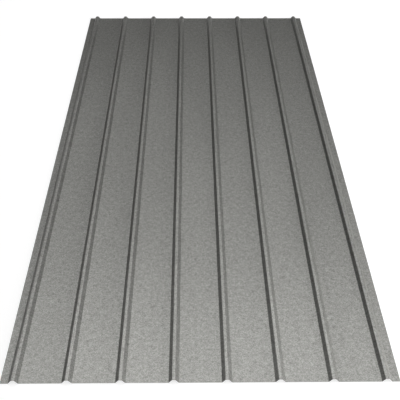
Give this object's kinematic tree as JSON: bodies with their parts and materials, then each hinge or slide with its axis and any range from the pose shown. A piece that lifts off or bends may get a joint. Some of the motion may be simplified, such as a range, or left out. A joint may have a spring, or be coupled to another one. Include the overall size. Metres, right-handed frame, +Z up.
{
  "type": "trapezoidal metal sheet",
  "caption": "Roll-formed coated steel sheet with low trapezoidal ribs along its length, for covering roofs and walls.",
  "frame": {"origin": "middle of the sheet at its lowest level, on the underside of the middle pan", "axes": "+Y along the ribs, +X across them, +Z up on the side where the ribs stand out"},
  "size_m": [0.91, 2, 0.0095],
  "materials": {
    "coil_coating": "matt fine-grained coil coating on zinc-coated steel"
  },
  "bodies": {
    "root": {"trapezoidal_sheet": "coil_coating"}
  },
  "joints": []
}
